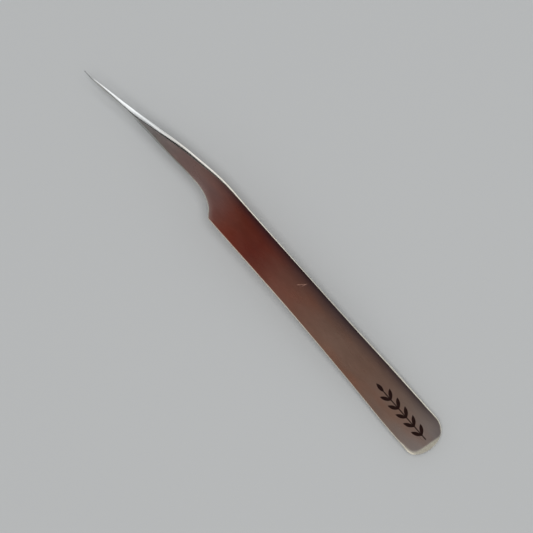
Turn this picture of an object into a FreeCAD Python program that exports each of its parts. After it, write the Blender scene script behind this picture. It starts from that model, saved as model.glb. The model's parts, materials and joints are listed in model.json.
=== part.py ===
"""Pointed lash tweezers: a flat spring-steel handle with a notched heel and long swept needles.

Two arms are spot welded to a spacer at the butt end. Each arm is one strip of steel: a flat
handle that narrows a little towards a notched heel, then a ground needle that sweeps across the
handle's centreline to a fine point. The arms bow apart, and spring open when they are let go.

The tool is drawn about its centre plane: x from the butt end to the points, y across the handle
towards the notched side, z from the rear arm to the front arm. At the end it is laid on the rear
arm's outer face, as it lies on a table. Sizes are in millimetres.

An arm bends just in front of its welds. It is cut there into two solids that meet in a round
seat: a tail, which stays with the root, and the arm itself, which turns about the seat's axis.
"""

import FreeCAD, Part
import math
import os

from FreeCAD import Placement, Rotation, Vector

# Overall
LENGTH = 120.0
ROOT_LENGTH = 16.0          # the welded stretch, from the butt end to where the arms start to flex
NECK_X = 86.0               # where the flat handle ends and the ground needle begins

# Plan outline of the handle: points along its two long edges, up to the heel and up to the neck
NOTCH_SIDE = [(8.0, 5.33), (20.0, 4.95), (32.0, 4.64), (46.0, 4.39), (60.0, 4.36), (74.75, 4.40)]
BACK_SIDE = [(8.0, -5.27), (20.0, -5.22), (32.0, -4.93), (46.0, -4.67), (60.0, -4.52),
             (74.0, -4.47), (79.0, -4.36), (82.6, -3.99), (NECK_X, -3.49)]
NECK_NOTCH_Y = 0.88         # the neck's edge on the notched side

# Rounded corners of the outline, each as its radius and the degrees that it turns
BUTT_ARCS = [(3.4, 68.0), (8.0, 34.0)]      # notched-side corner, and end; a third arc closes the width
HEEL_CORNER = (0.9, 46.0)
NOTCH_ARCS = [(6.5, 22.0), (12.0, 24.0)]

# Needle sections: x, notched-side y, back-side y, and how far in and down its outer edges round
NEEDLE_SECTIONS = [
    (91.5, 1.20, -2.62, 0.50, 0.42),
    (97.5, 1.50, -1.33, 0.85, 0.58),
    (104.0, 1.82, 0.14, 0.74, 0.62),
    (110.0, 2.40, 1.36, 0.43, 0.46),
    (115.0, 2.97, 2.30, 0.27, 0.31),
    (118.4, 3.24, 2.90, 0.14, 0.19),
    (LENGTH, 3.27, 3.05, 0.09, 0.10),
]

# Side profile of a resting arm: tangent arcs of the inner face, and the steel's thickness
SPRING_LENGTH = 18.0        # stretch that curves outwards in front of the root
SPRING_TURN = 6.15          # degrees
BOW_TURN = 8.65             # degrees that the rest of the arm curves back inwards
ROOT_THICKNESS = 0.95
ARM_THICKNESS = [(ROOT_LENGTH, ROOT_THICKNESS), (30.0, 0.82), (52.0, 1.02), (72.0, 1.25),
                 (NECK_X, 1.32), (97.5, 1.06), (110.0, 0.58), (LENGTH, 0.15)]
JAW_CLEARANCE = 0.02        # left between the points when the arms are pressed together
CROWN = 0.12                # how far the handle's outer face falls from its middle to its edges
CROWN_HALF_WIDTH = 4.5      # from the middle to where it has fallen that far
CROWN_START, CROWN_FULL = 18.0, 40.0    # the face is flat up to the first x, and crowned from the second

# Edges
EDGE_EASE = 0.3             # chamfer on the outer edges of the strip, all the way round the butt
BUTT_BEVEL_REACH = 1.5      # flat bevel across the butt end of each arm: along x, and down
BUTT_BEVEL_DROP = 0.4

# Flex seat between a tail and its arm
SEAT_RADIUS = ROOT_THICKNESS / 2
SEAT_CLEARANCE = 0.02
SEAT_GROOVE = 0.25          # the tail stops this far short of the hinge, so its edges aren't feathered

# Root spacer and spot welds
SPACER_THICKNESS = 1.2
SPACER_LENGTH = 21.0
SPACER_NOSE_LENGTH = 6.5    # the spacer's front end tapers over this length
SPACER_NOSE_TIP = 0.4       # thickness left at the nose
WELD_XS = (4.6, 10.8)
WELD_RADIUS = 1.5
WELD_END_RADIUS = 0.9
WELD_DEPTH = 0.45           # how far a weld reaches into each tail

# Blanks that are trimmed to shape run past the tool by a few millimetres
BEHIND_BUTT = -2.0
HALF_SWEEP = 6.5
HALF_TALL = 10.0
SECTION_STEPS = 4           # spans in the rounded corner of a needle section
HANDLE_STATIONS = 11        # points that the handle's side profile passes through
PROFILE_STATIONS = 400      # points compared to find where the tool touches the table

SPRING_END = ROOT_LENGTH + SPRING_LENGTH
TAIL_TOP = SPACER_THICKNESS / 2 + ROOT_THICKNESS
HINGE = Vector(ROOT_LENGTH, 0, SPACER_THICKNESS / 2 + SEAT_RADIUS)


def stations(first, last, count):
    return [first + (last - first) * i / (count - 1) for i in range(count)]


def plan(x, y):
    return Vector(x, y, 0)


def side(x, z):
    return Vector(x, 0, z)


def heading(degrees):
    """Unit vector in plan, turned anticlockwise from +X."""
    angle = math.radians(degrees)
    return plan(math.cos(angle), math.sin(angle))


def line(start, end):
    return Part.makeLine(start, end)


def spline(points, start=None, end=None):
    """A curve through the points, with these end tangents if they are given."""
    curve = Part.BSplineCurve()
    if start is None:
        curve.interpolate(points)
    else:
        curve.interpolate(Points=points, InitialTangent=start, FinalTangent=end)
    return curve.toShape()


def face_of(edges):
    return Part.Face(Part.Wire(Part.__sortEdges__(edges)))


class Path:
    """A run of tangent lines and arcs in plan. Turns are in degrees, and a left turn is positive."""

    def __init__(self, start, direction):
        self.point = start
        self.direction = direction
        self.edges = []

    def run(self, length):
        end = self.point + heading(self.direction) * length
        self.edges.append(line(self.point, end))
        self.point = end

    def turn(self, radius, turn):
        towards_centre = self.direction + math.copysign(90, turn)
        centre = self.point + heading(towards_centre) * radius
        middle = centre - heading(towards_centre + turn / 2) * radius
        end = centre - heading(towards_centre + turn) * radius
        self.edges.append(Part.Arc(self.point, middle, end).toShape())
        self.point = end
        self.direction += turn


def drop_of(radius, from_degrees, to_degrees):
    """How far across the handle an arc runs between two headings off the handle's axis."""
    return radius * abs(math.cos(math.radians(from_degrees)) - math.cos(math.radians(to_degrees)))


def heel_and_notch():
    """Outline from the end of the notched side's long edge to the neck: corner, flat and notch."""
    path = Path(plan(*NOTCH_SIDE[-1]), 0)
    path.turn(HEEL_CORNER[0], -HEEL_CORNER[1])
    left = path.point.y - NECK_NOTCH_Y
    slope = HEEL_CORNER[1]
    for radius, turn in NOTCH_ARCS:
        left -= drop_of(radius, slope, slope - turn)
        slope -= turn
    path.run(left / math.sin(math.radians(HEEL_CORNER[1])))
    for radius, turn in NOTCH_ARCS:
        path.turn(radius, turn)
    path.run(NECK_X - path.point.x)
    return path.edges


def butt():
    """Outline round the butt end: two arcs from the notched side, and a third that closes the width."""
    (corner_radius, corner_turn), (end_radius, end_turn) = BUTT_ARCS
    rise = math.sin(math.radians(corner_turn))
    corner_x = corner_radius * rise + end_radius * (1 - rise)
    path = Path(plan(*NOTCH_SIDE[0]), 180)
    path.run(NOTCH_SIDE[0][0] - corner_x)
    path.turn(corner_radius, corner_turn)
    path.turn(end_radius, end_turn)
    turned = corner_turn + end_turn
    across = path.point.y - BACK_SIDE[0][1]
    path.turn(across / drop_of(1, turned, 180), 180 - turned)
    path.run(BACK_SIDE[0][0] - path.point.x)
    return path.edges


def handle_outline():
    """Plan outline of the flat strip, from the butt end to the neck, as a face."""
    notch_edge = spline([plan(*p) for p in NOTCH_SIDE], heading(0), heading(0))
    back_points = [plan(*p) for p in BACK_SIDE]
    back_edge = spline(back_points, heading(0), (back_points[-1] - back_points[-2]).normalize())
    neck_end = line(plan(NECK_X, NECK_NOTCH_Y), back_points[-1])
    return face_of(butt() + [notch_edge, back_edge, neck_end] + heel_and_notch())


def inner_height(x):
    """Height of a resting arm's inner face above the centre plane."""
    height = SPACER_THICKNESS / 2
    if x <= ROOT_LENGTH:
        return height
    spring, bow = math.radians(SPRING_TURN), math.radians(BOW_TURN)
    if x <= SPRING_END:
        return height + spring / SPRING_LENGTH * (x - ROOT_LENGTH) ** 2 / 2
    run = x - SPRING_END
    height += spring * SPRING_LENGTH / 2
    return height + spring * run - bow / (LENGTH - SPRING_END) * run ** 2 / 2


def thickness(x):
    """Thickness of an arm at x, smoothly through the given stations."""
    if x <= ROOT_LENGTH:
        return ROOT_THICKNESS
    curve = spline([side(px, t) for px, t in ARM_THICKNESS]).Curve
    low, high = curve.FirstParameter, curve.LastParameter
    for _ in range(40):
        middle = (low + high) / 2
        if curve.value(middle).x < x:
            low = middle
        else:
            high = middle
    return curve.value(low).z


def outer_height(x):
    """Height of the outer face along the middle of the handle."""
    return inner_height(x) + thickness(x)


def crown_drop(x, y):
    """How far the outer face has fallen at y, to the side of its middle."""
    share = min(max((x - CROWN_START) / (CROWN_FULL - CROWN_START), 0), 1)
    return CROWN * share * share * (3 - 2 * share) * (y / CROWN_HALF_WIDTH) ** 2


def swept_polygon(points):
    """A closed side profile of straight lines, swept across the width."""
    face = face_of([line(a, b) for a, b in zip(points, points[1:] + points[:1])])
    face.translate(Vector(0, -HALF_SWEEP, 0))
    return face.extrude(Vector(0, 2 * HALF_SWEEP, 0))


def outline_prism():
    face = handle_outline()
    face.translate(Vector(0, 0, -HALF_TALL))
    return face.extrude(Vector(0, 0, 2 * HALF_TALL))


def side_profile(y, front_x):
    """The side profile of an arm's strip at y, from behind the butt to front_x, as a wire."""
    xs = stations(ROOT_LENGTH, front_x, HANDLE_STATIONS)
    inner = [Vector(x, y, inner_height(x)) for x in xs]
    outer = [Vector(x, y, outer_height(x) - crown_drop(x, y)) for x in xs]
    behind = Vector(BEHIND_BUTT - ROOT_LENGTH, 0, 0)
    corners = [inner[0] + behind, outer[0] + behind]
    return Part.Wire([
        line(corners[0], inner[0]),
        spline(inner),
        line(inner[-1], outer[-1]),
        spline(list(reversed(outer))),
        line(outer[0], corners[1]),
        line(corners[1], corners[0]),
    ])


def outer_rim(strip):
    """The edges round the strip's outer face, apart from the one across its front end."""
    rim = []
    for edge in strip.Edges:
        middle = edge.valueAt((edge.FirstParameter + edge.LastParameter) / 2)
        height = outer_height(middle.x) - crown_drop(middle.x, middle.y)
        crosses = edge.BoundBox.XLength < 0.01 and edge.BoundBox.YLength > 1
        if abs(middle.z - height) < 0.02 and not crosses:
            rim.append(edge)
    return rim


def finished(blank):
    """A strip's blank trimmed to the plan outline, with its outer edges eased and its butt bevelled."""
    strip = blank.common(outline_prism())
    return strip.makeChamfer(EDGE_EASE, outer_rim(strip)).cut(butt_bevel())


def handle_strip():
    """One arm's strip from the butt end to the neck, crowned along the handle."""
    profiles = [side_profile(y, NECK_X) for y in (-HALF_SWEEP, 0, HALF_SWEEP)]
    return finished(Part.makeLoft(profiles, True, False))


def root_strip():
    """The same strip's welded stretch, with faces that are truly flat."""
    low, high = side(BEHIND_BUTT, SPACER_THICKNESS / 2), side(BEHIND_BUTT, TAIL_TOP)
    reach = side(SPRING_END - BEHIND_BUTT, 0)
    return finished(swept_polygon([low, low + reach, high + reach, high]))


def butt_bevel():
    """What the flat bevel takes off the outer edge at the butt end."""
    slope = BUTT_BEVEL_DROP / BUTT_BEVEL_REACH
    start = side(BUTT_BEVEL_REACH, TAIL_TOP)
    end = side(BEHIND_BUTT, TAIL_TOP + (BEHIND_BUTT - BUTT_BEVEL_REACH) * slope)
    return swept_polygon([start, end, end + side(0, HALF_TALL), start + side(0, HALF_TALL)])


def needle_section(x, notch_y, back_y, inward, down):
    """One cross-section of the needle: a flat inner face and two rounded outer edges."""
    floor, top = inner_height(x), outer_height(x)
    turns = stations(0, math.pi / 2, SECTION_STEPS + 1)
    shifts = [(inward * (1 - math.cos(a)), top - down * (1 - math.sin(a))) for a in turns]
    notch_corner = [Vector(x, notch_y - shift, z) for shift, z in shifts]
    back_corner = [Vector(x, back_y + shift, z) for shift, z in reversed(shifts)]
    low_back, low_notch = Vector(x, back_y, floor), Vector(x, notch_y, floor)
    return Part.Wire([
        line(low_back, low_notch),
        line(low_notch, notch_corner[0]),
        spline(notch_corner),
        line(notch_corner[-1], back_corner[0]),
        spline(back_corner),
        line(back_corner[-1], low_back),
    ])


def needle(strip):
    """The ground needle, lofted from the strip's own end face, so that the two join without a step."""
    neck = min(strip.Faces, key=lambda face: abs(face.CenterOfMass.x - NECK_X))
    return Part.makeLoft([neck.OuterWire] + [needle_section(*s) for s in NEEDLE_SECTIONS], True, False)


def seat(radius):
    """The round seat across the handle, as a cylinder about the hinge axis."""
    return Part.makeCylinder(radius, 2 * HALF_SWEEP, HINGE - Vector(0, HALF_SWEEP, 0), Vector(0, 1, 0))


def in_front_of(x):
    return Part.makeBox(LENGTH, 2 * HALF_SWEEP, 2 * HALF_TALL, Vector(x, -HALF_SWEEP, -HALF_TALL))


def front_arm(strip):
    """The part of the front arm that moves: handle, heel and needle."""
    moving = strip.common(in_front_of(ROOT_LENGTH))
    knuckle = strip.common(seat(SEAT_RADIUS))
    return moving.fuse([knuckle, needle(strip)]).removeSplitter()


def front_tail(welds):
    """The part of the front arm that is welded down."""
    ahead = in_front_of(ROOT_LENGTH - SEAT_GROOVE).fuse(seat(SEAT_RADIUS + SEAT_CLEARANCE))
    return root_strip().cut(ahead).cut(welds)


def root_spacer(welds):
    """The plate between the tails, with their outline and a nose that tapers between the arms."""
    half, nose_half = SPACER_THICKNESS / 2, SPACER_NOSE_TIP / 2
    taper_x = SPACER_LENGTH - SPACER_NOSE_LENGTH
    top = [side(BEHIND_BUTT, half), side(taper_x, half), side(SPACER_LENGTH, nose_half)]
    bottom = [side(p.x, -p.z) for p in reversed(top)]
    return swept_polygon(top + bottom).common(outline_prism()).cut(welds)


def spot_weld(x):
    """A barrel of fused metal through the spacer and into both tails."""
    reach = SPACER_THICKNESS / 2 + WELD_DEPTH
    low, high = side(x, -reach), side(x, reach)
    rim_low, rim_high = low + side(WELD_END_RADIUS, 0), high + side(WELD_END_RADIUS, 0)
    bulge = Part.Arc(rim_low, side(x + WELD_RADIUS, 0), rim_high).toShape()
    half_section = face_of([line(low, rim_low), bulge, line(rim_high, high), line(high, low)])
    return half_section.revolve(low, Vector(0, 0, 1), 360)


def rear(shape):
    """The rear arm's copy of a front arm's shape, mirrored in the centre plane."""
    return shape.mirror(Vector(0, 0, 0), Vector(0, 0, 1))


def closing_angle():
    """Degrees that each arm turns about its hinge before the points meet."""
    tip = side(LENGTH, inner_height(LENGTH)) - HINGE
    closed = math.asin((JAW_CLEARANCE / 2 - HINGE.z) / tip.Length)
    return math.degrees(math.atan2(tip.z, tip.x) - closed)


def lie_angle():
    """Degrees between the centre plane and the table, when butt and bow both touch it."""
    heel_x, heel_z = BUTT_BEVEL_REACH, TAIL_TOP
    slopes = [(outer_height(x) - heel_z) / (x - heel_x)
              for x in stations(ROOT_LENGTH, LENGTH, PROFILE_STATIONS)]
    return math.degrees(math.atan(max(slopes)))


def table_placement(shapes):
    """The placement that lays the tool down with its middle over the origin."""
    turn = Placement(Vector(), Rotation(Vector(0, 1, 0), -lie_angle()))
    tool = Part.makeCompound(shapes)
    tool.Placement = turn
    box = tool.optimalBoundingBox(False)
    return Placement(Vector(-box.Center.x, -box.Center.y, -box.ZMin), Rotation()).multiply(turn)


def build():
    """Every node by name, laid on the table, and the placement that laid it there."""
    welds = Part.makeCompound([spot_weld(x) for x in WELD_XS])
    arm, tail = front_arm(handle_strip()), front_tail(welds)
    nodes = {
        "front_arm": arm,
        "front_arm_tail": tail,
        "rear_arm": rear(arm),
        "rear_arm_tail": rear(tail),
        "root_spacer": root_spacer(welds),
        "spot_welds": welds,
    }
    placement = table_placement(list(nodes.values()))
    for shape in nodes.values():
        shape.Placement = placement.multiply(shape.Placement)
    return nodes, placement


def main():
    os.makedirs("parts", exist_ok=True)
    nodes, placement = build()
    for name, shape in nodes.items():
        state = "valid" if shape.isValid() else "NOT VALID"
        print(f"{name}: {len(shape.Solids)} solid(s), {shape.Volume:.2f} mm3, {state}")
        shape.exportStep(f"parts/{name}.step")
    front, back = placement.multVec(HINGE), placement.multVec(side(HINGE.x, -HINGE.z))
    print(f"front hinge x {front.x:.4f} z {front.z:.4f}, rear hinge x {back.x:.4f} z {back.z:.4f}")
    print(f"each arm closes by {closing_angle():.4f} degrees, tool lies at {lie_angle():.4f} degrees")


if __name__ == "__main__":
    main()
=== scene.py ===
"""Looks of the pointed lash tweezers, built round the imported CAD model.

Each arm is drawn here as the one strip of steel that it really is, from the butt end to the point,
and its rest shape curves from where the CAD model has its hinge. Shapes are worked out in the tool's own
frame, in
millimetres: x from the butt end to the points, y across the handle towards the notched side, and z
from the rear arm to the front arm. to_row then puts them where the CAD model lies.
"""

import json
import math

import bmesh
import bpy
import numpy as np
from mathutils import Matrix, Vector, kdtree


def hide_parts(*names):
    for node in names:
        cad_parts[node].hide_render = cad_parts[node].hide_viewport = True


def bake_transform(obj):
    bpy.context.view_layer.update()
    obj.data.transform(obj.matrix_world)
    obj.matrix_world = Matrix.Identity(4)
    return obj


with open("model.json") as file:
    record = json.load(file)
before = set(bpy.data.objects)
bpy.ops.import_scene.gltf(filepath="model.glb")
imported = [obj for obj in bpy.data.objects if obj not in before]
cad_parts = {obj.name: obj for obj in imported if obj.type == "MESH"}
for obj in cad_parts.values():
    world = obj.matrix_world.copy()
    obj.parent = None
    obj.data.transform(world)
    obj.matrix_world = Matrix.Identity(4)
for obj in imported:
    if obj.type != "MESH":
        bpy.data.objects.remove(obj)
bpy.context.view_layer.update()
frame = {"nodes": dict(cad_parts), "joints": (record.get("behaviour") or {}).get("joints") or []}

MM = 0.001

# ---------------------------------------------------------------- sizes, as in the CAD model
LENGTH = 120.0
ROOT_LENGTH = 16.0
SPRING_END = 34.0
SPRING_TURN = math.radians(6.15)
BOW_TURN = math.radians(8.65)
SPACER_HALF = 0.6
ROOT_THICKNESS = 0.95
TAIL_TOP = SPACER_HALF + ROOT_THICKNESS
LIE_ANGLE = math.radians(3.3181)
CROWN, CROWN_HALF_WIDTH = 0.12, 4.5
CROWN_START, CROWN_FULL = 18.0, 40.0
THICKNESS = [(16.0, 0.95), (30.0, 0.82), (52.0, 1.02), (72.0, 1.25), (86.0, 1.32), (97.5, 1.06),
             (110.0, 0.58), (120.0, 0.15)]
NOTCH_SIDE = [(8.0, 5.33), (20.0, 4.95), (32.0, 4.64), (46.0, 4.39), (60.0, 4.36), (74.75, 4.40)]
NOTCH_NEEDLE = [(86.0, 0.88), (91.5, 1.20), (97.5, 1.50), (104.0, 1.82), (110.0, 2.40),
                (115.0, 2.97), (118.4, 3.24), (120.0, 3.27)]
BACK_SIDE = [(8.0, -5.27), (20.0, -5.22), (32.0, -4.93), (46.0, -4.67), (60.0, -4.52),
             (74.0, -4.47), (79.0, -4.36), (82.6, -3.99), (86.0, -3.49), (91.5, -2.62),
             (97.5, -1.33), (104.0, 0.14), (110.0, 1.36), (115.0, 2.30), (118.4, 2.90),
             (120.0, 3.05)]
HEEL_CORNER = (0.9, 46.0)               # radius, and degrees of turn, as in the next two
NOTCH_ARCS = [(6.5, 22.0), (12.0, 24.0)]
BUTT_CORNER = (3.4, 68.0)
BUTT_END = 8.0                          # radius of the arc across the butt end
BUTT_END_NOTCH, BUTT_END_BACK = 22.0, 12.0      # degrees of it on either side of the extreme point

# How far the outer edges are eased in from the outline and down from the face, by x. The needle's back
# edge is ground to a wide facet.
NOTCH_IN = [(0.0, 0.20), (2.0, 0.62), (4.5, 0.52), (9.0, 0.34), (40.0, 0.33), (86.0, 0.26),
            (91.5, 0.28), (97.5, 0.42), (104.0, 0.40), (110.0, 0.24), (115.0, 0.15), (118.4, 0.09),
            (120.0, 0.05)]
BACK_IN = [(0.0, 0.25), (3.0, 0.34), (40.0, 0.36), (70.0, 0.42), (80.0, 0.62), (86.0, 0.84),
           (91.5, 0.97), (97.5, 0.98), (101.0, 1.02), (104.0, 1.16), (107.0, 1.00), (110.0, 0.72),
           (115.0, 0.44), (118.4, 0.24), (120.0, 0.15)]
EDGE_DOWN = [(0.0, 0.12), (4.0, 0.26), (86.0, 0.28), (91.5, 0.36), (97.5, 0.52), (104.0, 0.58),
             (110.0, 0.42), (115.0, 0.28), (118.4, 0.17), (120.0, 0.09)]
INNER_EASE = 0.06


def clamped_spline(points, first_slope, last_slope):
    """The smooth curve y(x) through the points, with these end slopes."""
    xs, ys = np.array(points, float).T
    h = np.diff(xs)
    chord = np.diff(ys) / h
    n = len(xs)
    matrix, right = np.eye(n), np.zeros(n)
    right[0], right[-1] = first_slope, last_slope
    for i in range(1, n - 1):
        matrix[i, i - 1:i + 2] = h[i], 2 * (h[i - 1] + h[i]), h[i - 1]
        right[i] = 3 * (h[i] * chord[i - 1] + h[i - 1] * chord[i])
    slopes = np.linalg.solve(matrix, right)

    def at(x):
        x = np.clip(np.asarray(x, float), xs[0], xs[-1])
        i = np.clip(np.searchsorted(xs, x, side="right") - 1, 0, n - 2)
        t = (x - xs[i]) / h[i]
        return ((2 * t**3 - 3 * t**2 + 1) * ys[i] + (t**3 - 2 * t**2 + t) * h[i] * slopes[i]
                + (3 * t**2 - 2 * t**3) * ys[i + 1] + (t**3 - t**2) * h[i] * slopes[i + 1])
    return at


thickness_at = clamped_spline(THICKNESS, -0.012, -0.043)
notch_in_at = clamped_spline(NOTCH_IN, 0.30, -0.02)
back_in_at = clamped_spline(BACK_IN, 0.05, -0.05)
edge_down_at = clamped_spline(EDGE_DOWN, 0.05, -0.05)


def smooth_step(x, start, end):
    """0 before start, 1 after end, and smooth between them."""
    t = np.clip((np.asarray(x, float) - start) / (end - start), 0, 1)
    return t * t * (3 - 2 * t)


def between(x, coming, going):
    """1 between two stretches of x, 0 outside them, and smooth along them."""
    return smooth_step(x, *coming) * (1 - smooth_step(x, *going))


def inner_height(x):
    """Height of a resting front arm's inner face above the centre plane."""
    x = np.asarray(x, float)
    spring = np.clip(x - ROOT_LENGTH, 0, SPRING_END - ROOT_LENGTH)
    run = np.clip(x - SPRING_END, 0, None)
    return (SPACER_HALF + SPRING_TURN / (SPRING_END - ROOT_LENGTH) * spring**2 / 2
            + SPRING_TURN * run - BOW_TURN / (LENGTH - SPRING_END) * run**2 / 2)


def outer_height(x):
    """Height of its outer face at the middle, before the crown and the bevels."""
    x = np.asarray(x, float)
    return inner_height(x) + np.where(x < ROOT_LENGTH, ROOT_THICKNESS, thickness_at(x))


# ---------------------------------------------------------------- plan outline
def arc(start, heading, radius, turn, count=60):
    """Points along an arc in plan, and the heading at its end. A left turn is positive, in degrees."""
    side = math.copysign(90, turn)
    towards = math.radians(heading + side)
    centre = np.array(start) + radius * np.array([math.cos(towards), math.sin(towards)])
    angles = np.radians(heading - side + np.linspace(0, turn, count))
    points = centre + radius * np.stack([np.cos(angles), np.sin(angles)], axis=1)
    return points, heading + turn


def joined(*runs):
    """One line through all the runs, with no point twice."""
    points = np.concatenate([np.asarray(r, float) for r in runs])
    keep = np.append(True, np.linalg.norm(np.diff(points, axis=0), axis=1) > 1e-6)
    return points[keep]


def even(points, step=0.02):
    """The same line with points at even steps along it."""
    s = np.append(0, np.cumsum(np.linalg.norm(np.diff(points, axis=0), axis=1)))
    at = np.linspace(0, s[-1], int(s[-1] / step))
    return np.stack([np.interp(at, s, points[:, 0]), np.interp(at, s, points[:, 1])], axis=1)


def spline_edge(points, first_slope, last_slope, count):
    """Points along the smooth curve from the first given point to the last."""
    xs = np.linspace(points[0][0], points[-1][0], count)
    return np.stack([xs, clamped_spline(points, first_slope, last_slope)(xs)], axis=1)


def notched_outline():
    """The notched side's edge, from the butt's extreme point to the tip."""
    side_y = NOTCH_SIDE[0][1]
    corner_radius, corner_turn = BUTT_CORNER
    rise = math.sin(math.radians(corner_turn))
    corner_x = corner_radius * rise + BUTT_END * (1 - rise)
    corner, heading = arc((corner_x, side_y), 180, corner_radius, corner_turn)
    end, _ = arc(corner[-1], heading, BUTT_END, BUTT_END_NOTCH)
    edge = spline_edge(NOTCH_SIDE, 0, 0, 900)
    heel, heading = arc(edge[-1], 0, HEEL_CORNER[0], -HEEL_CORNER[1])
    # A straight run leads from the heel's corner to the notch's two arcs, which end at the neck
    left = heel[-1][1] - NOTCH_NEEDLE[0][1]
    slope = HEEL_CORNER[1]
    for radius, turn in NOTCH_ARCS:
        low, high = math.radians(slope - turn), math.radians(slope)
        left -= radius * (math.cos(low) - math.cos(high))
        slope -= turn
    run = left / math.sin(math.radians(HEEL_CORNER[1]))
    down = math.radians(heading)
    foot = heel[-1] + run * np.array([math.cos(down), math.sin(down)])
    first, heading = arc(foot, heading, *NOTCH_ARCS[0])
    second, _ = arc(first[-1], heading, *NOTCH_ARCS[1])
    needle = spline_edge(NOTCH_NEEDLE, 0.03, 0.0, 700)
    return joined(end[::-1], corner[::-1], edge, heel, first, second, needle)


def back_outline(extreme):
    """The other side's edge, from the butt's extreme point to the tip."""
    end, heading = arc(extreme, 270, BUTT_END, BUTT_END_BACK)
    left = 90 - BUTT_END_BACK
    radius = (end[-1][1] - BACK_SIDE[0][1]) / (1 - math.cos(math.radians(left)))
    corner, _ = arc(end[-1], heading, radius, left)
    return joined(end, corner, spline_edge(BACK_SIDE, 0, 0.08, 2000))


class Side:
    """One long edge of the outline: points, inward directions, and distances to it."""

    def __init__(self, points, inward_sign, ease_at):
        self.ease_at = ease_at
        self.points = even(points)
        tangent = np.gradient(self.points, axis=0)
        tangent /= np.linalg.norm(tangent, axis=1)[:, None]
        self.inward = inward_sign * np.stack([tangent[:, 1], -tangent[:, 0]], axis=1)
        self.s = np.linspace(0, 1, len(self.points))
        # The first point past the butt's curve
        self.straight = int(np.argmax(self.points[:, 0] > NOTCH_SIDE[0][0]))
        self.tree = kdtree.KDTree(len(self.points))
        for i, (x, y) in enumerate(self.points):
            self.tree.insert((x, y, 0), i)
        self.tree.balance()

    def at(self, station):
        """Point and inward direction. Under 0 a station is a share of the butt's curve, less 1."""
        if station < 0:
            s = (station + 1) * self.s[self.straight]
        else:
            xs = self.points[self.straight - 1:, 0]
            s = float(np.interp(station, xs, self.s[self.straight - 1:]))
        pick = [np.interp(s, self.s, column) for column in (*self.points.T, *self.inward.T)]
        inward = np.array(pick[2:])
        return np.array(pick[:2]), inward / np.linalg.norm(inward)

    def distance(self, x, y):
        return self.tree.find((x, y, 0))[2]


notched_points = notched_outline()
notched = Side(notched_points, 1, notch_in_at)
back = Side(back_outline(notched_points[0]), -1, back_in_at)

# ---------------------------------------------------------------- the arm's surfaces
CROWN_END = (84, 95)                    # the stretch where the crown dies out again
BUTT_CROWN, BUTT_CROWN_START = 0.5, (1, 9)      # a share of it starts nearer the butt end
BEVEL_RIDGE, BEVEL_SKEW = 1.35, 0.10    # the butt bevel's inner boundary: x at the middle, and slant
BEVEL_SLOPE = 0.27
BEVEL_SOFT = 0.04
BEVEL_SHINE = (-0.02, 0.06)             # polish comes in over these depths of the bevel
SIDE_BEVEL_WIDTH, SIDE_BEVEL_SOFT = 0.85, 0.25      # the bevel carries on along the notched side
SIDE_BEVEL_FADE, SIDE_BEVEL_END = 3.0, 10.0         # and fades out between these
ROLL_WIDTH, ROLL_DROP = 1.3, 0.055      # the face rolls off gently beside its back edge
ROLL_START, ROLL_END = (4, 14), (78, 92)
FACET_WIDTH, FACET_DROP = 1.15, 0.05    # a flat is ground along the notch
FACET_START, FACET_END = (73.6, 74.8), (77.5, 88)
FACET_SHINE, FACET_SHINE_EDGE, FACET_SHINE_END = 0.4, (-0.3, 0.9), (78, 90)
# Painted shade: a dark reflection painted into the face's colour beside the back edge. Its width by x,
# and where it comes and goes
DARK_REFLECTION_REACH = [(0.0, 3.0), (20.0, 3.4), (40.0, 4.2), (65.0, 2.9), (90.0, 2.6)]
DARK_REFLECTION_START, DARK_REFLECTION_END = (-4, 12), (70, 86)
DARK_REFLECTION_POWER = 1.7
dark_reflection_reach_at = clamped_spline(DARK_REFLECTION_REACH, 0, 0)


def soft_min(a, b, radius):
    """The lesser of two heights, with the corner between them rounded."""
    h = np.clip(0.5 + 0.5 * (b - a) / radius, 0, 1)
    return b + (a - b) * h - radius * h * (1 - h)


def face_height(x, y):
    """The front arm's outer face, before its edges are rounded."""
    near_butt = BUTT_CROWN * smooth_step(x, *BUTT_CROWN_START)
    crown = max(smooth_step(x, CROWN_START, CROWN_FULL), near_butt) * (1 - smooth_step(x, *CROWN_END))
    height = outer_height(x) - CROWN * crown * (y / CROWN_HALF_WIDTH) ** 2
    roll = max(0, 1 - back.distance(x, y) / ROLL_WIDTH)
    height -= ROLL_DROP * between(x, ROLL_START, ROLL_END) * roll**2
    facet = max(0, 1 - notched.distance(x, y) / FACET_WIDTH)
    height -= FACET_DROP * between(x, FACET_START, FACET_END) * facet**2
    return float(soft_min(height, bevel_height(x, y), BEVEL_SOFT))


def bevel_height(x, y):
    """The flat across the butt end, which carries on along the notched side and fades out."""
    end = TAIL_TOP - BEVEL_SLOPE * (BEVEL_RIDGE + BEVEL_SKEW * y - x)
    if x > SIDE_BEVEL_END:
        return end
    width = SIDE_BEVEL_WIDTH * (1 - smooth_step(x, SIDE_BEVEL_FADE, SIDE_BEVEL_END))
    side = TAIL_TOP - BEVEL_SLOPE * (width - notched.distance(x, y))
    return soft_min(end, side, SIDE_BEVEL_SOFT)


def polish_at(x, y):
    """1 on the butt bevel, some on the flat along the notch, and 0 on the rest of the face."""
    if x < SIDE_BEVEL_END:
        return float(smooth_step(TAIL_TOP - bevel_height(x, y), *BEVEL_SHINE))
    strength = FACET_SHINE * between(x, FACET_START, FACET_SHINE_END)
    return float(strength * smooth_step(FACET_WIDTH - notched.distance(x, y), *FACET_SHINE_EDGE))


def painted_dark_reflection_at(x, y):
    """1 where a dark reflection is painted beside the back edge, falling to 0 in from it."""
    nearness = max(0, 1 - back.distance(x, y) / dark_reflection_reach_at(x))
    return float(between(x, DARK_REFLECTION_START, DARK_REFLECTION_END) * nearness**DARK_REFLECTION_POWER)
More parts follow.
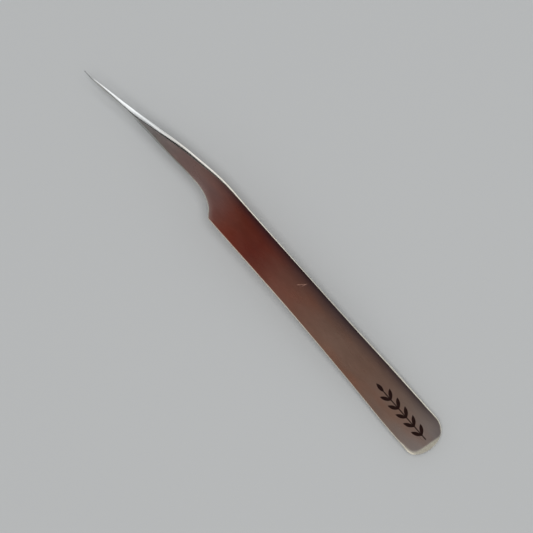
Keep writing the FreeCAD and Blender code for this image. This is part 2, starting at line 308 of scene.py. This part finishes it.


# Painted highlight on the polished edges: how much their silver is brightened or dimmed, by x. A fine
# highlight line is painted along the needle's ground back facet: the first table says how far in it
# lies, and the next three how bright the facet is painted outside, on and inside it.
HIGHLIGHT_LINE_INSET = [(91.5, 0.62), (97.5, 0.44), (103.0, 0.32), (109.0, 0.25), (120.0, 0.05)]
HIGHLIGHT_OUTSIDE = [(88.0, 0.95), (94.0, 0.78), (97.5, 0.68), (101.0, 0.86), (104.0, 1.02),
                 (116.0, 1.10), (118.0, 0.50), (120.0, 0.50)]
HIGHLIGHT_PEAK = [(88.0, 1.0), (94.0, 1.0), (97.5, 1.03), (101.0, 1.30), (114.0, 1.40), (116.0, 1.1),
             (118.0, 0.50), (120.0, 0.50)]
HIGHLIGHT_INSIDE = [(88.0, 1.0), (97.5, 0.75), (100.0, 0.52), (103.0, 0.82), (106.0, 0.95),
                (112.0, 0.72), (118.0, 0.5)]
HIGHLIGHT_HALF_WIDTH, HIGHLIGHT_FOOT = 0.13, 0.25
# Painted highlight along the handle's back edge, and painted shade dimming the notched edge near the
# needle and at the tip, as factors on the silver by x
BACK_PAINTED_HIGHLIGHT = [(24.0, 1.32), (32.0, 1.20), (54.0, 1.16), (60.0, 1.24), (66.0, 1.14), (74.0, 1.0)]
NOTCH_PAINTED_SHADE = [(82.0, 1.0), (88.0, 0.55), (102.0, 0.55), (107.0, 1.0), (116.0, 1.0), (118.0, 0.65)]


def painted_highlight_at(side, x, inset):
    """Painted highlight or shade on a polished edge, this far in from the outline, as a factor on its
    silver: 1 where nothing is painted.
    """
    def by_x(points):
        return float(np.interp(x, *zip(*points)))

    if side is notched:
        return by_x(NOTCH_PAINTED_SHADE)
    highlight_inset = by_x(HIGHLIGHT_LINE_INSET)
    outside, inside = by_x(HIGHLIGHT_OUTSIDE), by_x(HIGHLIGHT_INSIDE)
    slope = outside + (inside - outside) * float(smooth_step(inset, highlight_inset, highlight_inset + HIGHLIGHT_FOOT))
    line = math.exp(-((inset - highlight_inset) / HIGHLIGHT_HALF_WIDTH) ** 2)
    return by_x(BACK_PAINTED_HIGHLIGHT) * (slope + (by_x(HIGHLIGHT_PEAK) - slope) * line)


def spread(*runs):
    """Stations from (start, end, step) runs, each once."""
    return np.concatenate([np.arange(a, b - step / 4, step) for a, b, step in runs])


# Where the arm's sections stand, by x: closer where the outline turns. Those under 0 are round the butt.
TIP_START = 119.6
STATIONS = np.concatenate([
    spread((-1.0, 0.0, 1 / 34)),
    spread((8.01, 16, 0.8), (16, 34, 0.9), (34, 72.8, 1.2), (72.8, 74.7, 0.38), (74.7, 75.6, 0.09),
           (75.6, 86, 0.4), (86, 117.6, 0.55), (117.6, 119.6, 0.25)),
    [TIP_START, 119.78, 119.9, 119.97, LENGTH],
])
FACE_SPANS, INNER_SPANS, ROUND_STEPS = 18, 8, 6     # points across the faces and up an eased edge
ROUND_CROWDING = 1.4                    # how much an edge's steps crowd towards the face
HANDLE_ROUND, NEEDLE_ROUND = 2.2, 1.3   # power of an eased edge's curve. 1 would be a flat bevel
ROUND_CHANGE = (88, 100)
SUPPORT, SUPPORT_SHARE = 0.06, 0.08     # how near to the eased edges the face has its first points
INNER_SHINE = 0.4                       # polish of the inner face
THIN = 1e-4                             # a section narrower than this is a line


def tip_scale(x):
    """The tip's last sections shrink to a rounded end."""
    t = np.clip((x - TIP_START) / (LENGTH - TIP_START), 0, 1)
    return math.sqrt(max(1 - t * t, 0.02))


def edge_column(side, station):
    """A point of the outline, its inward direction, and steps in from it with their drops and painted
    highlights.
    """
    point, inward = side.at(station)
    x = point[0]
    reach, down = float(side.ease_at(x)), float(edge_down_at(x))
    power = HANDLE_ROUND + (NEEDLE_ROUND - HANDLE_ROUND) * smooth_step(x, *ROUND_CHANGE)
    steps = 1 - np.linspace(1, 0, ROUND_STEPS + 1) ** ROUND_CROWDING
    return point, inward, [(reach * t, down * (1 - t) ** power, painted_highlight_at(side, x, reach * t))
                           for t in steps]


def arm_section(station):
    """One closed loop of points round the arm: their places in the tool, polish, painted dark reflection
    and painted highlight.
    """
    sides = [edge_column(side, station) for side in (notched, back)]
    outline = [point for point, _, _ in sides]
    middle = (outline[0] + outline[1]) / 2
    half_width = np.linalg.norm(outline[0] - outline[1]) / 2
    scale = tip_scale(middle[0])
    columns = []
    for point, inward, profile in sides:
        point = middle + (point - middle) * scale
        steps = [(point + inward * reach * scale, drop, painted_highlight) for reach, drop, painted_highlight in profile]
        columns.append((point, inward, steps))
    if half_width < THIN:
        columns = [columns[0], columns[0]]

    def top(p, drop):
        floor = inner_height(p[0])
        return floor + (face_height(*p) - floor) * scale - drop * scale

    def rising(column):
        """The wall and the eased edge of one side, from the inner face up."""
        point, _, steps = column
        foot = float(inner_height(point[0])) + INNER_EASE * scale
        place, drop, painted_highlight = steps[0]
        wall = top(place, drop) - foot
        return ([(*point, foot + wall * t, 1, 0, painted_highlight) for t in (0, 0.5)]
                + [(*p, top(p, drop), 1, 0, painted_highlight) for p, drop, painted_highlight in steps])

    start, end = columns[0][2][-1][0], columns[1][2][-1][0]
    support = min(SUPPORT / max(np.linalg.norm(end - start), 1e-9), SUPPORT_SHARE)
    shares = (1 - np.cos(np.linspace(0, math.pi, FACE_SPANS + 1)[1:-1])) / 2
    face = []
    for share in np.concatenate([[support], support + (1 - 2 * support) * shares, [1 - support]]):
        p = start + (end - start) * share
        face.append((*p, top(p, 0), polish_at(*p), painted_dark_reflection_at(*p), 1))
    notch_foot, back_foot = [point + inward * min(INNER_EASE, half_width / 3) * scale
                             for point, inward, _ in columns]
    inner = []
    for share in np.linspace(0, 1, INNER_SPANS + 1):
        p = back_foot + (notch_foot - back_foot) * share
        inner.append((*p, float(inner_height(p[0])), INNER_SHINE, 0, 1))
    return rising(columns[0]) + face + rising(columns[1])[::-1] + inner


def to_row():
    """The tool's frame in the row frame: it lies on its rear arm, tipped up by the lie angle."""
    hinges = {j["name"]: Vector(j["pos_m"]) for j in frame["joints"]}
    middle = (hinges["front_arm_flex"] + hinges["rear_arm_flex"]) / 2
    turn = Matrix.Rotation(-LIE_ANGLE, 4, "Y")
    return Matrix.Translation(middle - turn @ Vector((ROOT_LENGTH * MM, 0, 0))) @ turn


TO_ROW = to_row()


def row(x, y, z):
    """A place in the tool's frame, in millimetres, as one in the row frame, in metres."""
    return TO_ROW @ Vector((x * MM, y * MM, z * MM))


MERGE_DISTANCE, DEGENERATE_LENGTH = 2e-7, 1e-7
SHARP_ANGLE = math.radians(38)


def lofted(name, sections, mirrored=False):
    """A closed mesh through the sections. It keeps each point's place in the tool as 'plan', and the
    sections' other three numbers as 'polish', painted dark reflection and painted highlight."""
    sections = np.array(sections)
    count, around, numbers = sections.shape
    points = sections.reshape(-1, numbers).copy()
    if mirrored:
        points[:, 2] *= -1
    bm = bmesh.new()
    plan = bm.verts.layers.float_vector.new("plan")
    polish = bm.verts.layers.float.new("polish")
    painted_dark_reflection = bm.verts.layers.float.new("painted_dark_reflection")
    painted_highlight = bm.verts.layers.float.new("painted_highlight")
    verts = []
    for x, y, z, shine, dark, bright in points:
        v = bm.verts.new(row(x, y, z))
        v[plan] = Vector((x, y, z))
        v[polish], v[painted_dark_reflection], v[painted_highlight] = shine, dark, bright
        verts.append(v)
    for i in range(count - 1):
        for j in range(around):
            k = (j + 1) % around
            a, b = i * around, (i + 1) * around
            loop = [verts[a + j], verts[a + k], verts[b + k], verts[b + j]]
            bm.faces.new(loop if not mirrored else loop[::-1])
    # The butt's first section is a line, so only the tip has a cap
    last = verts[-around:]
    bm.faces.new(last if not mirrored else last[::-1])
    bmesh.ops.remove_doubles(bm, verts=bm.verts, dist=MERGE_DISTANCE)
    bmesh.ops.dissolve_degenerate(bm, edges=bm.edges, dist=DEGENERATE_LENGTH)
    bmesh.ops.recalc_face_normals(bm, faces=bm.faces)
    for face in bm.faces:
        face.smooth = True
    mesh = bpy.data.meshes.new(name)
    bm.to_mesh(mesh)
    bm.free()
    mesh.set_sharp_from_angle(angle=SHARP_ANGLE)
    piece = bpy.data.objects.new(name, mesh)
    bpy.context.scene.collection.objects.link(piece)
    return piece


# ---------------------------------------------------------------- materials
NOISE_MIDDLE = (0.3, 0.7)
HAIRLINES, HAIR_EDGE = (0.32, 9.0, 1.0), (0.70, 0.75)


class Nodes:
    """Short calls for building one material's node tree."""

    def __init__(self, tree):
        self.tree = tree

    def new(self, kind, **settings):
        node = self.tree.nodes.new(kind)
        for key, value in settings.items():
            setattr(node, key, value)
        return node

    def put(self, socket, value):
        """Link another node's output to a socket, or set a constant on it."""
        if isinstance(value, bpy.types.NodeSocket):
            self.tree.links.new(value, socket)
        elif socket.type == "RGBA":
            socket.default_value = (*value, 1)
        else:
            socket.default_value = value

    def math(self, operation, *values):
        node = self.new("ShaderNodeMath", operation=operation)
        for socket, value in zip(node.inputs, values):
            self.put(socket, value)
        return node.outputs[0]

    def step(self, value, start, end, low=0.0, high=1.0):
        """value from start to end as low to high, smoothly, and no further."""
        node = self.new("ShaderNodeMapRange", interpolation_type="SMOOTHSTEP")
        for name, v in zip(("Value", "From Min", "From Max", "To Min", "To Max"),
                           (value, start, end, low, high)):
            self.put(node.inputs[name], v)
        return node.outputs["Result"]

    def varied(self, noise, low, high):
        """The middle of a noise's range as low to high."""
        return self.step(noise, *NOISE_MIDDLE, low, high)

    def attribute(self, name):
        return self.new("ShaderNodeAttribute", attribute_name=name).outputs

    def split(self, vector):
        node = self.new("ShaderNodeSeparateXYZ")
        self.put(node.inputs[0], vector)
        return node.outputs

    def join(self, x, y, z):
        node = self.new("ShaderNodeCombineXYZ")
        for socket, value in zip(node.inputs, (x, y, z)):
            self.put(socket, value)
        return node.outputs[0]

    def noise(self, vector, scales, detail=2.0, roughness=0.5):
        """Noise with this many cycles to a unit along each axis."""
        stretched = self.new("ShaderNodeVectorMath", operation="MULTIPLY")
        self.put(stretched.inputs[0], vector)
        self.put(stretched.inputs[1], scales)
        node = self.new("ShaderNodeTexNoise")
        for name, v in (("Vector", stretched.outputs[0]), ("Scale", 1.0), ("Detail", detail),
                        ("Roughness", roughness)):
            self.put(node.inputs[name], v)
        return node.outputs["Fac"]

    def hairlines(self, x, y, degrees):
        """1 on sparse fine lines that run this way in plan, a few millimetres long."""
        c, s = math.cos(math.radians(degrees)), math.sin(math.radians(degrees))
        u = self.math("ADD", self.math("MULTIPLY", x, c), self.math("MULTIPLY", y, s))
        v = self.math("SUBTRACT", self.math("MULTIPLY", y, c), self.math("MULTIPLY", x, s))
        return self.step(self.noise(self.join(u, v, degrees), HAIRLINES, detail=0.0), *HAIR_EDGE)

    def ramp(self, value, stops):
        """A colour from (place, colour) stops, with places from 0 to 1."""
        node = self.new("ShaderNodeValToRGB")
        elements = node.color_ramp.elements
        while len(elements) < len(stops):
            elements.new(0.5)
        for element, (place, colour) in zip(elements, stops):
            element.position = place
            element.color = (*colour, 1)
        self.put(node.inputs[0], value)
        return node.outputs["Color"]

    def mix(self, share, a, b, how="MIX"):
        node = self.new("ShaderNodeMix", data_type="RGBA", blend_type=how)
        for socket, value in zip((node.inputs[0], node.inputs[6], node.inputs[7]), (share, a, b)):
            self.put(socket, value)
        return node.outputs[2]

    def scaled(self, colour, factor):
        node = self.new("ShaderNodeVectorMath", operation="SCALE")
        self.put(node.inputs[0], colour)
        self.put(node.inputs["Scale"], factor)
        return node.outputs[0]

    def bump(self, height, strength, distance):
        node = self.new("ShaderNodeBump")
        node.inputs["Strength"].default_value = strength
        node.inputs["Distance"].default_value = distance
        self.put(node.inputs["Height"], height)
        return node.outputs[0]


def principled(name, colour, roughness, metallic=1.0):
    """A new material, its shader, and the calls that add nodes to it."""
    material = bpy.data.materials.new(name)
    material.use_nodes = True
    shader = material.node_tree.nodes["Principled BSDF"]
    shader.inputs["Base Color"].default_value = (*colour, 1)
    shader.inputs["Metallic"].default_value = metallic
    shader.inputs["Roughness"].default_value = roughness
    return material, shader, Nodes(material.node_tree)


SILVER = (0.66, 0.64, 0.60)
EDGE_TINTS = [(0.0, SILVER), (0.77, SILVER), (0.84, (0.70, 0.71, 0.71)), (1.0, (0.70, 0.71, 0.71))]
# The broad faces' colour by share of the length: a painted reflection of a warm surround, greyish at the
# butt, deep red at the heel and silver at the point
PAINTED_REFLECTION_TINTS = [(0.00, (0.47, 0.42, 0.41)), (0.10, (0.41, 0.32, 0.275)), (0.20, (0.385, 0.265, 0.212)),
         (0.32, (0.39, 0.262, 0.212)), (0.40, (0.37, 0.225, 0.18)), (0.455, (0.37, 0.205, 0.165)),
         (0.52, (0.292, 0.115, 0.092)), (0.575, (0.32, 0.125, 0.09)), (0.60, (0.360, 0.164, 0.125)),
         (0.64, (0.41, 0.275, 0.25)), (0.70, (0.47, 0.38, 0.355)), (0.75, (0.55, 0.47, 0.45)),
         (0.80, (0.62, 0.60, 0.585)), (1.00, SILVER)]
# Colour of the painted dark reflection beside the back edge
PAINTED_DARK_REFLECTION_COLOUR = (0.06, 0.06, 0.10)
WARM, COOL = (1.05, 0.97, 0.93), (0.96, 1.02, 1.05)
# Noises on the arms, in cycles to a millimetre along the strip, across it and through it
BLOTCHES = (0.10, 0.32, 0.32)
CLOUDS, CLOUD_EDGE = (0.06, 0.17, 0.17), (0.38, 0.62)
WEAR, WEAR_EDGE = (0.8, 1.6, 1.6), (0.30, 0.55)
GRINDING_LINES, FINE_LINES = (0.20, 9.0, 9.0), (0.9, 24.0, 24.0)
SMUDGES = (0.16, 0.30, 0.30)
HAIR_ANGLES = (24, -9)
BUMP_HEIGHT = 0.00001


LEAF_BLUR = 0.02


def leaf(n, u, v, length, half_width):
    """1 inside a pointed leaf that runs from u = 0 to length."""
    t = n.math("SUBTRACT", n.math("MULTIPLY", u, 2 / length), 1)
    width = n.math("MULTIPLY", n.math("SUBTRACT", 1, n.math("MULTIPLY", t, t)), half_width)
    return n.step(n.math("SUBTRACT", width, n.math("ABSOLUTE", v)), -LEAF_BLUR, LEAF_BLUR)


SPRIG_START, SPRIG_Y = 3.7, 0.15
LEAF_PAIRS, LEAF_PITCH, LEAF_LENGTH, LEAF_HALF_WIDTH = 5, 2.75, 2.80, 0.46
LEAF_ANGLE = math.radians(31)
LEAF_OVERLAP = 0.1                      # how far a leaf's foot is from the stem's middle line
STEM_EDGE = (0.16, 0.12)                # from the stem's middle line, clear to dark
STALK_EDGE = (1.25, 1.20)               # how far the stem carries on past the first leaves, the same way


def sprig(n, x, y):
    """A laser-marked sprig: pairs of leaves along a stem, and one at its end."""
    along = n.math("SUBTRACT", x, SPRIG_START)
    across = n.math("SUBTRACT", y, SPRIG_Y)
    far = n.math("ABSOLUTE", across)
    cell = n.math("MULTIPLY", n.math("FRACT", n.math("DIVIDE", along, LEAF_PITCH)), LEAF_PITCH)
    cosine, sine = math.cos(LEAF_ANGLE), math.sin(LEAF_ANGLE)
    u = n.math("ADD", n.math("MULTIPLY", cell, cosine), n.math("MULTIPLY", far, sine))
    v = n.math("SUBTRACT", n.math("MULTIPLY", far, cosine), n.math("MULTIPLY", cell, sine))
    pairs = leaf(n, n.math("SUBTRACT", u, LEAF_OVERLAP), v, LEAF_LENGTH, LEAF_HALF_WIDTH)
    stem_end = SPRIG_START + LEAF_PITCH * LEAF_PAIRS
    before_end = n.math("LESS_THAN", x, stem_end)
    inside = n.math("MULTIPLY", n.math("GREATER_THAN", x, SPRIG_START), before_end)
    pairs = n.math("MULTIPLY", pairs, inside)
    end = leaf(n, n.math("SUBTRACT", x, stem_end - LEAF_OVERLAP), across, LEAF_LENGTH, LEAF_HALF_WIDTH)
    stalk = n.step(x, *(SPRIG_START - reach for reach in STALK_EDGE))
    stem = n.math("MULTIPLY", n.math("MULTIPLY", n.step(far, *STEM_EDGE), stalk), before_end)
    return n.math("MAXIMUM", n.math("MAXIMUM", pairs, stem), end)


STROKE_TAPER, STROKE_CORE = 0.5, 0.3    # length of its faded ends, and its full share of the half width


def stroke(n, x, y, start, end, half_width):
    """1 on a short straight scratch between two points."""
    (x0, y0), (x1, y1) = start, end
    length = math.hypot(x1 - x0, y1 - y0)
    ux, uy = (x1 - x0) / length, (y1 - y0) / length
    dx, dy = n.math("SUBTRACT", x, x0), n.math("SUBTRACT", y, y0)
    u = n.math("ADD", n.math("MULTIPLY", dx, ux), n.math("MULTIPLY", dy, uy))
    v = n.math("SUBTRACT", n.math("MULTIPLY", dx, uy), n.math("MULTIPLY", dy, ux))
    beyond = n.math("ABSOLUTE", n.math("SUBTRACT", u, length / 2))
    ends = n.step(beyond, length / 2, length / 2 - STROKE_TAPER)
    body = n.step(n.math("ABSOLUTE", v), half_width, half_width * STROKE_CORE)
    return n.math("MULTIPLY", body, ends)


OUTER_FACE_Z = 1.2                      # the marks are only above this
MARK_COLOUR = (0.012, 0.002, 0.001)
SCRATCH_COLOUR = (0.31, 0.17, 0.13)
SCRATCH_LINES = [((49.9, -0.95), (48.2, -3.15), 0.10), ((48.8, -1.6), (48.3, -3.2), 0.08)]


def add_marks(n, shader, plan, fine, colour, rough):
    """Lay the sprig and the scratch over the steel. Both are less metallic than it is."""
    x, y, z = n.split(plan)
    outer = n.math("GREATER_THAN", z, OUTER_FACE_Z)
    mark = n.math("MULTIPLY", sprig(n, x, y), outer)
    scratch = n.math("MAXIMUM", *(stroke(n, x, y, *line) for line in SCRATCH_LINES))
    scratch = n.math("MULTIPLY", scratch, outer)
    char = n.step(fine, 0.35, 0.65, low=0.8, high=1.2)
    colour = n.mix(mark, colour, n.scaled(n.join(*MARK_COLOUR), char))
    colour = n.mix(scratch, colour, SCRATCH_COLOUR)
    rough = n.math("ADD", rough, n.math("MULTIPLY", mark, 0.25))
    metal = n.math("SUBTRACT", 1, n.math("MULTIPLY", mark, 0.9))
    metal = n.math("SUBTRACT", metal, n.math("MULTIPLY", scratch, 0.8))
    n.put(shader.inputs["Metallic"], metal)
    return colour, rough


def arm_steel(name, marked):
    """Satin steel. The warm colour of its broad faces is a painted reflection, a dark reflection is
    painted beside the back edge, and its polished edges carry painted highlight and shade.
    """
    material, shader, n = principled(name, SILVER, 0.3)
    shader.inputs["Specular IOR Level"].default_value = 0.2
    plan, polish = n.attribute("plan")["Vector"], n.attribute("polish")["Fac"]
    x, y, _ = n.split(plan)
    share = n.math("DIVIDE", x, LENGTH)
    blotch = n.noise(plan, BLOTCHES, detail=3.0, roughness=0.6)
    cloud = n.step(n.noise(plan, CLOUDS), *CLOUD_EDGE)
    worn = n.step(n.noise(plan, WEAR, detail=3.0), *WEAR_EDGE, low=0.75, high=1.0)
    smudge = n.noise(plan, SMUDGES, detail=4.0, roughness=0.55)
    lines, fine = n.noise(plan, GRINDING_LINES, detail=1.0), n.noise(plan, FINE_LINES, detail=1.0)
    grain = n.math("ADD", n.math("MULTIPLY", lines, 0.6), n.math("MULTIPLY", fine, 0.4))
    hair = n.math("MAXIMUM", *(n.hairlines(x, y, angle) for angle in HAIR_ANGLES))

    # Painted reflection: the faces' warm colour along the length, with random tone variation over it
    tone_and_painted_reflection = n.scaled(n.ramp(share, PAINTED_REFLECTION_TINTS), n.varied(blotch, 0.93, 1.06))
    tone_and_painted_reflection = n.mix(1.0, tone_and_painted_reflection, n.mix(cloud, WARM, COOL), "MULTIPLY")
    # Painted shade: the dark reflection beside the back edge
    tone_and_painted_reflection = n.mix(n.attribute("painted_dark_reflection")["Fac"], tone_and_painted_reflection, PAINTED_DARK_REFLECTION_COLOUR)
    # The polished edges' silver, brightened or dimmed by the painted highlight and shade
    bright = n.scaled(n.ramp(share, EDGE_TINTS), n.attribute("painted_highlight")["Fac"])
    colour = n.mix(n.math("MULTIPLY", polish, worn), tone_and_painted_reflection, bright)
    colour = n.scaled(colour, n.varied(grain, 0.97, 1.03))
    colour = n.scaled(colour, n.step(hair, 0.0, 1.0, low=1.0, high=1.12))

    rough = n.math("ADD", n.varied(smudge, 0.27, 0.34), n.varied(grain, -0.012, 0.012))
    rough = n.math("SUBTRACT", rough, n.math("MULTIPLY", polish, 0.06))
    rough = n.math("ADD", rough, n.math("MULTIPLY", hair, 0.05))
    if marked:
        colour, rough = add_marks(n, shader, plan, fine, colour, rough)
    n.put(shader.inputs["Base Color"], colour)
    n.put(shader.inputs["Roughness"], rough)
    n.put(shader.inputs["Normal"], n.bump(lines, 0.04, BUMP_HEIGHT))
    return material


PLAIN_LINES = (300.0, 300.0, 9000.0)    # cycles to a metre


def plain_steel(name, colour, roughness):
    """Ground steel for what is between the arms."""
    material, shader, n = principled(name, colour, roughness)
    place = n.new("ShaderNodeTexCoord").outputs["Object"]
    lines = n.noise(place, PLAIN_LINES, detail=3.0, roughness=0.6)
    n.put(shader.inputs["Base Color"], n.scaled(n.join(*colour), n.varied(lines, 0.92, 1.06)))
    n.put(shader.inputs["Roughness"], n.varied(lines, roughness - 0.05, roughness + 0.06))
    n.put(shader.inputs["Normal"], n.bump(lines, 0.10, BUMP_HEIGHT))
    return material


# ---------------------------------------------------------------- pieces
arm_sections = [arm_section(s) for s in STATIONS]
front = lofted("front_arm_strip", arm_sections)
rear = lofted("rear_arm_strip", arm_sections, mirrored=True)
for arm, body in ((front, "front_arm"), (rear, "rear_arm")):
    arm.data.materials.append(arm_steel(body + "_steel", marked=body == "front_arm"))
    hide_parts(body, body + "_tail")
    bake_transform(arm)

for name, colour, roughness in (("root_spacer", (0.60, 0.58, 0.56), 0.34),
                                ("spot_welds", (0.55, 0.54, 0.53), 0.45)):
    for slot in frame["nodes"][name].material_slots:
        slot.material = plain_steel(name + "_steel", colour, roughness)

# ---------------------------------------------------------------- floor, lights and camera
FLOOR_HALF = 3.0
FLOOR_COLOUR, FLOOR_ROUGHNESS = (0.50, 0.51, 0.51), 0.9
WORLD_COLOUR, WORLD_STRENGTH = (0.97, 0.98, 1.0, 1), 0.46
LAMP_PLACE, LAMP_SIZE, LAMP_POWER = (-0.05, 0.0, 0.85), 0.40, 3.6

floor_mesh = bpy.data.meshes.new("floor")
floor_mesh.from_pydata([(x * FLOOR_HALF, y * FLOOR_HALF, 0)
                        for x, y in ((-1, -1), (1, -1), (1, 1), (-1, 1))], [], [(0, 1, 2, 3)])
floor = bpy.data.objects.new("floor", floor_mesh)
bpy.context.scene.collection.objects.link(floor)
floor_material, _, _ = principled("floor", FLOOR_COLOUR, FLOOR_ROUGHNESS, metallic=0.0)
floor.data.materials.append(floor_material)

world = bpy.data.worlds.new("studio")
world.use_nodes = True
world.node_tree.nodes["Background"].inputs["Color"].default_value = WORLD_COLOUR
world.node_tree.nodes["Background"].inputs["Strength"].default_value = WORLD_STRENGTH
bpy.context.scene.world = world

lamp_data = bpy.data.lights.new("top", "AREA")
lamp_data.shape = "DISK"
lamp_data.size, lamp_data.energy = LAMP_SIZE, LAMP_POWER
lamp = bpy.data.objects.new("top", lamp_data)
lamp.location = LAMP_PLACE
lamp.rotation_euler = (-Vector(LAMP_PLACE)).to_track_quat("-Z", "Y").to_euler()
lamp.visible_glossy = False
bpy.context.scene.collection.objects.link(lamp)

# Cards that only reflections see: what they shine, as stops of x in the tool's frame. One hangs over the
# tool: warm, redder over the heel, and dark towards the back side. The others stand along the tool's two
# sides, and are what its eased edges reflect.
CARD_LOW, CARD_HIGH = -260.0, 320.0
TOP_CARD = [(-100, (0.60, 0.58, 0.51)), (-72, (0.60, 0.58, 0.51)), (-38, (0.40, 0.38, 0.37)),
            (-14, (0.387, 0.364, 0.355)), (4, (0.386, 0.32, 0.278)), (27, (0.388, 0.26, 0.225)),
            (43, (0.33, 0.127, 0.10)), (58, (0.333, 0.107, 0.072)), (67, (0.37, 0.21, 0.197)),
            (80, (0.362, 0.324, 0.325)), (92, (0.335, 0.282, 0.284)), (103, (0.13, 0.110, 0.118)),
            (115, (0.05, 0.058, 0.063)), (128, (0.36, 0.36, 0.36)), (180, (0.36, 0.36, 0.36))]
TOP_SHADE = (-66, 20, 0.0, 1.0)         # of y, from and to, as shares of the card's light
BACK_CARD = [(-60, (0.72, 0.71, 0.65)), (10, (0.85, 0.85, 0.78)), (42, (1.20, 1.20, 1.12)),
             (68, (1.32, 1.32, 1.24)), (100, (1.10, 1.10, 1.06)), (125, (1.42, 1.43, 1.42)),
             (140, (1.48, 1.50, 1.52)), (185, (1.42, 1.45, 1.48)), (215, (0.9, 0.9, 0.9)),
             (260, (0.4, 0.4, 0.4))]
NOTCH_CARD = [(-60, (0.90, 0.86, 0.76)), (20, (0.88, 0.86, 0.76)), (84, (0.76, 0.76, 0.68)),
              (120, (0.60, 0.60, 0.55)), (300, (0.60, 0.60, 0.55))]


def reflection_card(name, corners, stops, shade=None):
    """An unseen glowing card. Its corners and its stops are in the tool's frame."""
    mesh = bpy.data.meshes.new(name)
    mesh.from_pydata([row(*c) for c in corners], [], [(0, 1, 2, 3)])
    place = mesh.attributes.new("plan", "FLOAT_VECTOR", "POINT")
    for item, corner in zip(place.data, corners):
        item.vector = corner
    card = bpy.data.objects.new(name, mesh)
    bpy.context.scene.collection.objects.link(card)
    material = bpy.data.materials.new(name)
    material.use_nodes = True
    n = Nodes(material.node_tree)
    n.tree.nodes.clear()
    x, y, _ = n.split(n.attribute("plan")["Vector"])
    low, high = stops[0][0], stops[-1][0]
    share = n.math("DIVIDE", n.math("SUBTRACT", x, low), high - low)
    colour = n.ramp(share, [((at - low) / (high - low), c) for at, c in stops])
    if shade is not None:
        colour = n.scaled(colour, n.step(y, *shade))
    glow = n.new("ShaderNodeEmission")
    n.put(glow.inputs["Color"], colour)
    n.tree.links.new(glow.outputs[0], n.new("ShaderNodeOutputMaterial").inputs["Surface"])
    mesh.materials.append(material)
    for ray in ("camera", "diffuse", "transmission", "volume_scatter", "shadow"):
        setattr(card, "visible_" + ray, False)


def card_rectangle(y0, z0, y1, z1):
    """Corners of a card from one line along the tool to another, each given by its y and z."""
    return [(CARD_LOW, y0, z0), (CARD_HIGH, y0, z0), (CARD_HIGH, y1, z1), (CARD_LOW, y1, z1)]


reflection_card("top_card", card_rectangle(-112, 120, 150, 120), TOP_CARD, TOP_SHADE)
reflection_card("back_card", card_rectangle(-260, 5, -200, 330), BACK_CARD)
reflection_card("notch_card", card_rectangle(260, 5, 200, 230), NOTCH_CARD)

CAMERA_DISTANCE = 0.50
CAMERA_LENS = 143.58
CAMERA_OVER = (57.685, 1.406)           # where it looks, in the tool's plan
CAMERA_ROLL = math.radians(131.31)      # from the picture's right to the points


def make_camera():
    """Square on to the front arm's broad face, with the handle rolled as it is seen."""
    data = bpy.data.cameras.new("camera")
    data.lens = CAMERA_LENS
    data.sensor_width = 36.0
    data.clip_start, data.clip_end = 0.01, 20.0
    camera = bpy.data.objects.new("camera", data)
    turn = TO_ROW.to_3x3()
    along, across, towards = turn.col[0], turn.col[1], turn.col[2]
    right = math.cos(CAMERA_ROLL) * along - math.sin(CAMERA_ROLL) * across
    up = math.sin(CAMERA_ROLL) * along + math.cos(CAMERA_ROLL) * across
    place = row(*CAMERA_OVER, 0) + towards * CAMERA_DISTANCE
    camera.matrix_world = Matrix((
        (right.x, up.x, towards.x, place.x),
        (right.y, up.y, towards.y, place.y),
        (right.z, up.z, towards.z, place.z),
        (0, 0, 0, 1),
    ))
    bpy.context.scene.collection.objects.link(camera)
    bpy.context.scene.camera = camera


make_camera()
bpy.context.scene.view_settings.view_transform = "Standard"
